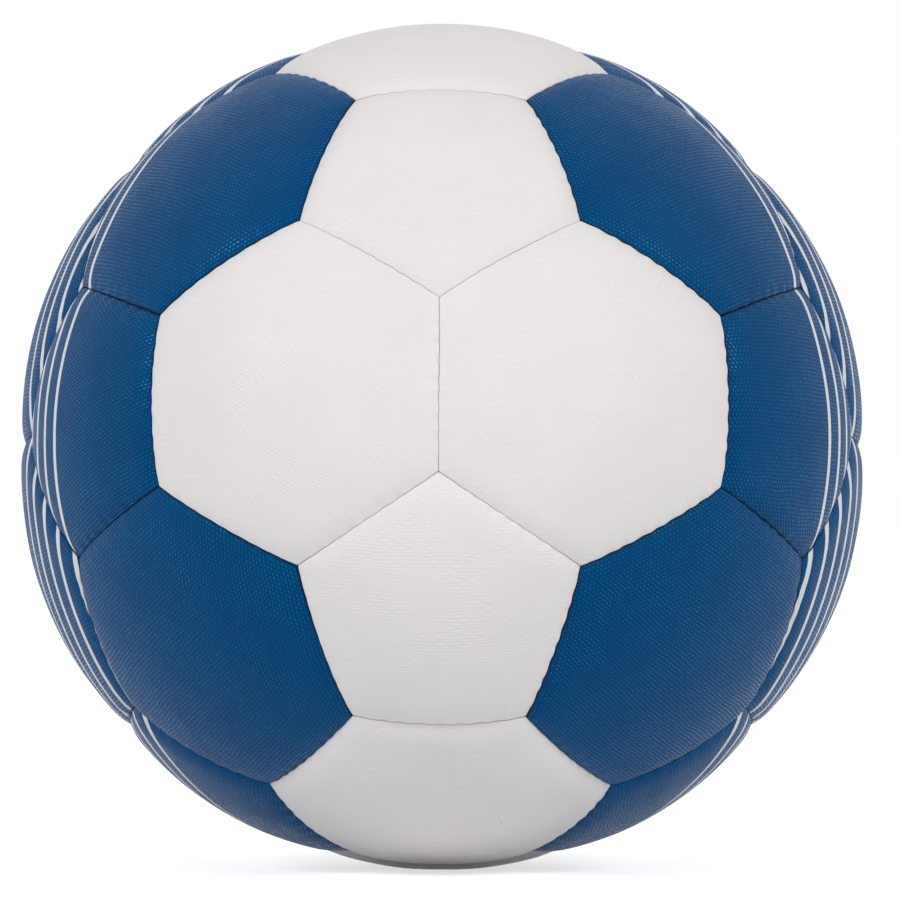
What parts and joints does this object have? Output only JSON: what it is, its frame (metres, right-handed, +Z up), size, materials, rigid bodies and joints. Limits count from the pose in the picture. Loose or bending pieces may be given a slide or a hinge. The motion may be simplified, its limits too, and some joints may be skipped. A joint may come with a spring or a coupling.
{
  "type": "handball",
  "caption": "Hand-stitched handball: padded hexagon and pentagon panels in blue and white over a textile backing and an inflated bladder with a needle valve.",
  "frame": {"origin": "the ball's centre", "axes": "+Z up, -Y towards the picture's camera, +X to its right; the panel pattern leans 8.6 degrees back as the ball lies in the picture"},
  "size_m": [0.173, 0.1728, 0.1739],
  "materials": {
    "white_cover": "matte",
    "blue_cover": "satin",
    "textile_backing": "matte",
    "waxed_thread": "satin",
    "latex": "satin",
    "valve_rubber": "matte",
    "plug_rubber": "satin"
  },
  "bodies": {
    "root": {"hexagon_panel_01": "blue_cover", "hexagon_panel_02": "blue_cover", "hexagon_panel_03": "blue_cover", "hexagon_panel_04": "blue_cover", "hexagon_panel_05": "blue_cover", "hexagon_panel_06": "blue_cover", "hexagon_panel_07": "blue_cover", "hexagon_panel_08": "blue_cover", "hexagon_panel_09": "white_cover", "hexagon_panel_10": "white_cover", "hexagon_panel_11": "blue_cover", "hexagon_panel_12": "white_cover", "hexagon_panel_13": "white_cover", "hexagon_panel_14": "blue_cover", "hexagon_panel_15": "white_cover", "hexagon_panel_16": "white_cover", "hexagon_panel_17": "blue_cover", "hexagon_panel_18": "white_cover", "hexagon_panel_19": "white_cover", "hexagon_panel_20": "blue_cover", "pentagon_panel_01": "white_cover", "pentagon_panel_02": "blue_cover", "pentagon_panel_03": "blue_cover", "pentagon_panel_04": "white_cover", "pentagon_panel_05": "blue_cover", "pentagon_panel_06": "blue_cover", "pentagon_panel_07": "white_cover", "pentagon_panel_08": "blue_cover", "pentagon_panel_09": "blue_cover", "pentagon_panel_10": "white_cover", "pentagon_panel_11": "blue_cover", "pentagon_panel_12": "blue_cover", "hexagon_backings": "textile_backing", "pentagon_backings": "textile_backing", "seam_threads": "waxed_thread", "bladder": "latex", "bladder_patch": "valve_rubber", "valve_seat": "valve_rubber", "valve_plug": "plug_rubber"}
  },
  "joints": []
}
